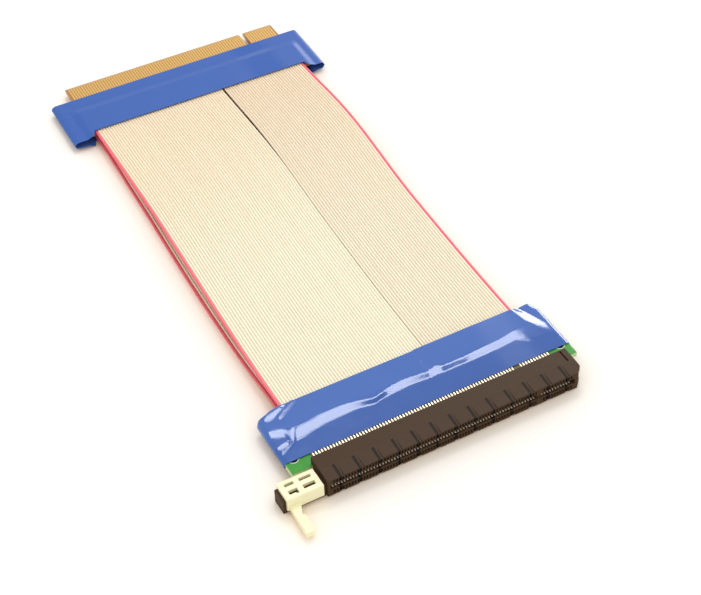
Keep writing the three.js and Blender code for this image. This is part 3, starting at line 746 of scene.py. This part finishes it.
tree.links.new(metal, shader.inputs["Metallic"])
lift = add(tree, "ShaderNodeBump", {"Height": grain.outputs[0], "Distance": 0.02 * MM})
tree.links.new(lift.outputs[0], shader.inputs["Normal"])
housing = nodes["slot_housing"]
housing.data.materials.clear()
housing.data.materials.append(nylon)

# %% [markdown]
# ## Soldered tails
# Each contact ends in a tinned tail soldered to its pad. From above they read as a row of short
# bright bars with dark gaps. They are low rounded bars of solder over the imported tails.

# %% Tinned tails
TAIL_FRONT_Y = HOUSING_DEPTH - 0.15
TAIL_BACK_Y = 15.0
TAIL_HALF = 0.27
TAIL_RISE = 0.27

tin, tree, shader = new_material("tinned_phosphor_bronze", Roughness=0.32, Metallic=1.0,
                                 Base_Color=linear("#E6D9BE"))


def contact_places():
    """The middles of the 82 contacts: eleven right of the key and 71 left of it."""
    short = [CONTACT_HALF_SPAN - i for i in range(11)]
    return short + [short[-1] - 3.0 - i for i in range(71)]


def solder_row(name, side):
    """A row of low solder bars, one on each tail, on one face of the board."""
    made_mesh = bmesh.new()
    arch = [(-TAIL_HALF, 0.0), (-TAIL_HALF, 0.13), (-0.15, TAIL_RISE), (0.15, TAIL_RISE),
            (TAIL_HALF, 0.13), (TAIL_HALF, 0.0)]
    for centre in contact_places():
        rings = []
        for tail_y in (TAIL_FRONT_Y, TAIL_BACK_Y):
            ring = [made_mesh.verts.new(at(centre + dx, tail_y,
                    SLOT_MIDDLE + side * (BOARD_HALF + 0.01 + rise))) for dx, rise in arch]
            rings.append(ring)
        for i in range(len(arch)):
            k = (i + 1) % len(arch)
            made_mesh.faces.new((rings[0][i], rings[0][k], rings[1][k], rings[1][i]))
        made_mesh.faces.new(rings[0])
        made_mesh.faces.new(list(reversed(rings[1])))
    bmesh.ops.recalc_face_normals(made_mesh, faces=made_mesh.faces)
    mesh = bpy.data.meshes.new(name)
    made_mesh.to_mesh(mesh)
    made_mesh.free()
    mesh.materials.append(tin)
    made = bpy.data.objects.new(name, mesh)
    bpy.context.scene.collection.objects.link(made)
    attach(made, "root")
    return made


for row, side in (("upper", 1), ("lower", -1)):
    tails = solder_row(f"soldered_tails_{row}", side)
    print(tails.name, len(tails.data.polygons), "faces")

# %% [markdown]
# ## Slot board
# The board is glass-epoxy laminate under bright green solder lacquer. Its sawn edge shows the
# paler laminate, a tinned ring surrounds each hole, and the lacquer is left off between the
# solder pads, where the bare laminate is painted dark brown, partly as painted shade between the
# tails. The lacquer is smooth but reflects little, so the green stays full.

# %% Lacquered laminate
HOLE_X = 47.15
HOLE_Y = 15.0
RING_RADIUS = 1.9
PADS_HALF = 42.3
PADS_REAR = 15.3

laminate, tree, shader = new_material("green_lacquered_laminate", Roughness=0.36, IOR=1.5,
                                      Specular_IOR_Level=0.2)
place, x, y, _ = slot_millimetres(tree)
facing = add(tree, "ShaderNodeNewGeometry").outputs["Normal"]
up = add(tree, "ShaderNodeSeparateXYZ", {0: facing}).outputs[2]
flat = add(tree, "ShaderNodeMath", {0: up}, operation="ABSOLUTE").outputs[0]
weave = add(tree, "ShaderNodeTexNoise", {"Vector": place, "Scale": 0.8, "Detail": 3.0})
green = add(tree, "ShaderNodeMix", {0: weave.outputs[0], 6: linear("#2A8A22"),
            7: linear("#3E9E36")}, data_type="RGBA")
sawn = add(tree, "ShaderNodeMix", {0: flat, 6: linear("#C9D9A8"), 7: green.outputs[2]},
           data_type="RGBA")
# Between the solder pads the board is painted dark brown: bare laminate, made darker as painted
# shade between the tails.
pads = both(tree, between(tree, y, 0.0, PADS_REAR), between(tree, x, -PADS_HALF, PADS_HALF))
bare_and_shaded = add(tree, "ShaderNodeMix", {0: pads, 6: sawn.outputs[2], 7: linear("#5E5138")},
           data_type="RGBA")
key = both(tree, between(tree, x, KEY_X - KEY_HALF, KEY_X + KEY_HALF), pads)
olive = add(tree, "ShaderNodeMix", {0: key, 6: bare_and_shaded.outputs[2], 7: linear("#6E6A3A")},
            data_type="RGBA")
centred = add(tree, "ShaderNodeMath", {0: x, 1: -BOARD_SHIFT}, operation="ADD").outputs[0]
folded = add(tree, "ShaderNodeMath", {0: centred}, operation="ABSOLUTE").outputs[0]
near = add(tree, "ShaderNodeCombineXYZ", {0: folded, 1: y})
ring = add(tree, "ShaderNodeVectorMath", {0: near.outputs[0], 1: (HOLE_X, HOLE_Y, 0)},
           operation="DISTANCE")
tinned = both(tree, between(tree, ring.outputs["Value"], 0.0, RING_RADIUS), flat)
ringed = add(tree, "ShaderNodeMix", {0: tinned, 6: olive.outputs[2], 7: linear("#DDE3C4")},
             data_type="RGBA")
tree.links.new(ringed.outputs[2], shader.inputs["Base Color"])
board = nodes["slot_board"]
board.data.materials.clear()
board.data.materials.append(laminate)

# %% [markdown]
# ## Card edge
# The card edge is the same laminate left bare and amber between the fingers, which are copper
# plated with nickel and gold. The fingers stand proud by the plating, so height tells them apart.
# The metal throws back a warm sheen and the amber stays dull, which gives the fine comb.

# %% Gold on laminate
gold_edge, tree, shader = new_material("gold_plated_laminate", Roughness=0.3, IOR=1.5)
place, _, _, z = slot_millimetres(tree, EDGE_ORIGIN)
rise = add(tree, "ShaderNodeMath", {0: z, 1: EDGE_MIDDLE}, operation="SUBTRACT").outputs[0]
height = add(tree, "ShaderNodeMath", {0: rise}, operation="ABSOLUTE").outputs[0]
finger = add(tree, "ShaderNodeMath", {0: height, 1: BOARD_HALF + 0.02},
             operation="GREATER_THAN").outputs[0]
amber = add(tree, "ShaderNodeTexNoise", {"Vector": place, "Scale": 1.2, "Detail": 3.0})
gap = add(tree, "ShaderNodeMix", {0: amber.outputs[0], 6: linear("#9A6526"),
          7: linear("#B57F3C")}, data_type="RGBA")
gilt = add(tree, "ShaderNodeMix", {0: finger, 6: gap.outputs[2], 7: linear("#D9B26E")},
           data_type="RGBA")
tree.links.new(gilt.outputs[2], shader.inputs["Base Color"])
tree.links.new(finger, shader.inputs["Metallic"])
edge = nodes["edge_board"]
edge.data.materials.clear()
edge.data.materials.append(gold_edge)

# %% [markdown]
# ## Retention clip
# The clip is one cream acetal moulding. Mould edges are never sharp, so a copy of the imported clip
# gets small rounded edges and stands in for it. The satin, slightly clouded cream gives it soft
# highlights along those edges.

# %% Acetal clip
CLIP_ROUNDING = 0.12

acetal, tree, shader = new_material("cream_acetal", Roughness=0.38, IOR=1.48)
place = slot_millimetres(tree)[0]
flow = add(tree, "ShaderNodeTexNoise", {"Vector": place, "Scale": 0.5, "Detail": 3.0})
cream = add(tree, "ShaderNodeMix", {0: flow.outputs[0], 6: linear("#EEE9C0"),
            7: linear("#F5F0CC")}, data_type="RGBA")
tree.links.new(cream.outputs[2], shader.inputs["Base Color"])


def rounded_copy(node, name, radius, material):
    """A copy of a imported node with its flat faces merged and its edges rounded."""
    shaper = bmesh.new()
    shaper.from_mesh(nodes[node].data)
    bmesh.ops.remove_doubles(shaper, verts=shaper.verts, dist=0.001 * MM)
    bmesh.ops.dissolve_limit(shaper, angle_limit=math.radians(1), verts=shaper.verts,
                             edges=shaper.edges)
    sharp = [e for e in shaper.edges if len(e.link_faces) == 2
             and e.calc_face_angle(0) > math.radians(20)]
    bmesh.ops.bevel(shaper, geom=sharp, offset=radius * MM, segments=2, affect="EDGES",
                    clamp_overlap=True)
    mesh = bpy.data.meshes.new(name)
    shaper.to_mesh(mesh)
    shaper.free()
    mesh.materials.append(material)
    made = bpy.data.objects.new(name, mesh)
    bpy.context.scene.collection.objects.link(made)
    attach(made, "root")
    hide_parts(node)
    return made


clip = rounded_copy("retention_clip", "moulded_clip", CLIP_ROUNDING, acetal)
print(clip.name, len(clip.data.polygons), "faces")

# %% [markdown]
# ## The size
# Both boxes, the imported cable's and the dressed cable's, are printed. The dressed cable
# has to stay inside the imported one's box.

low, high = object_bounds()
for axis, a, b, c, d in zip("xyz", cad_low, cad_high, low, high):
    print(axis, "CAD", round(a / MM, 2), round(b / MM, 2), "visual", round(c / MM, 2),
          round(d / MM, 2))
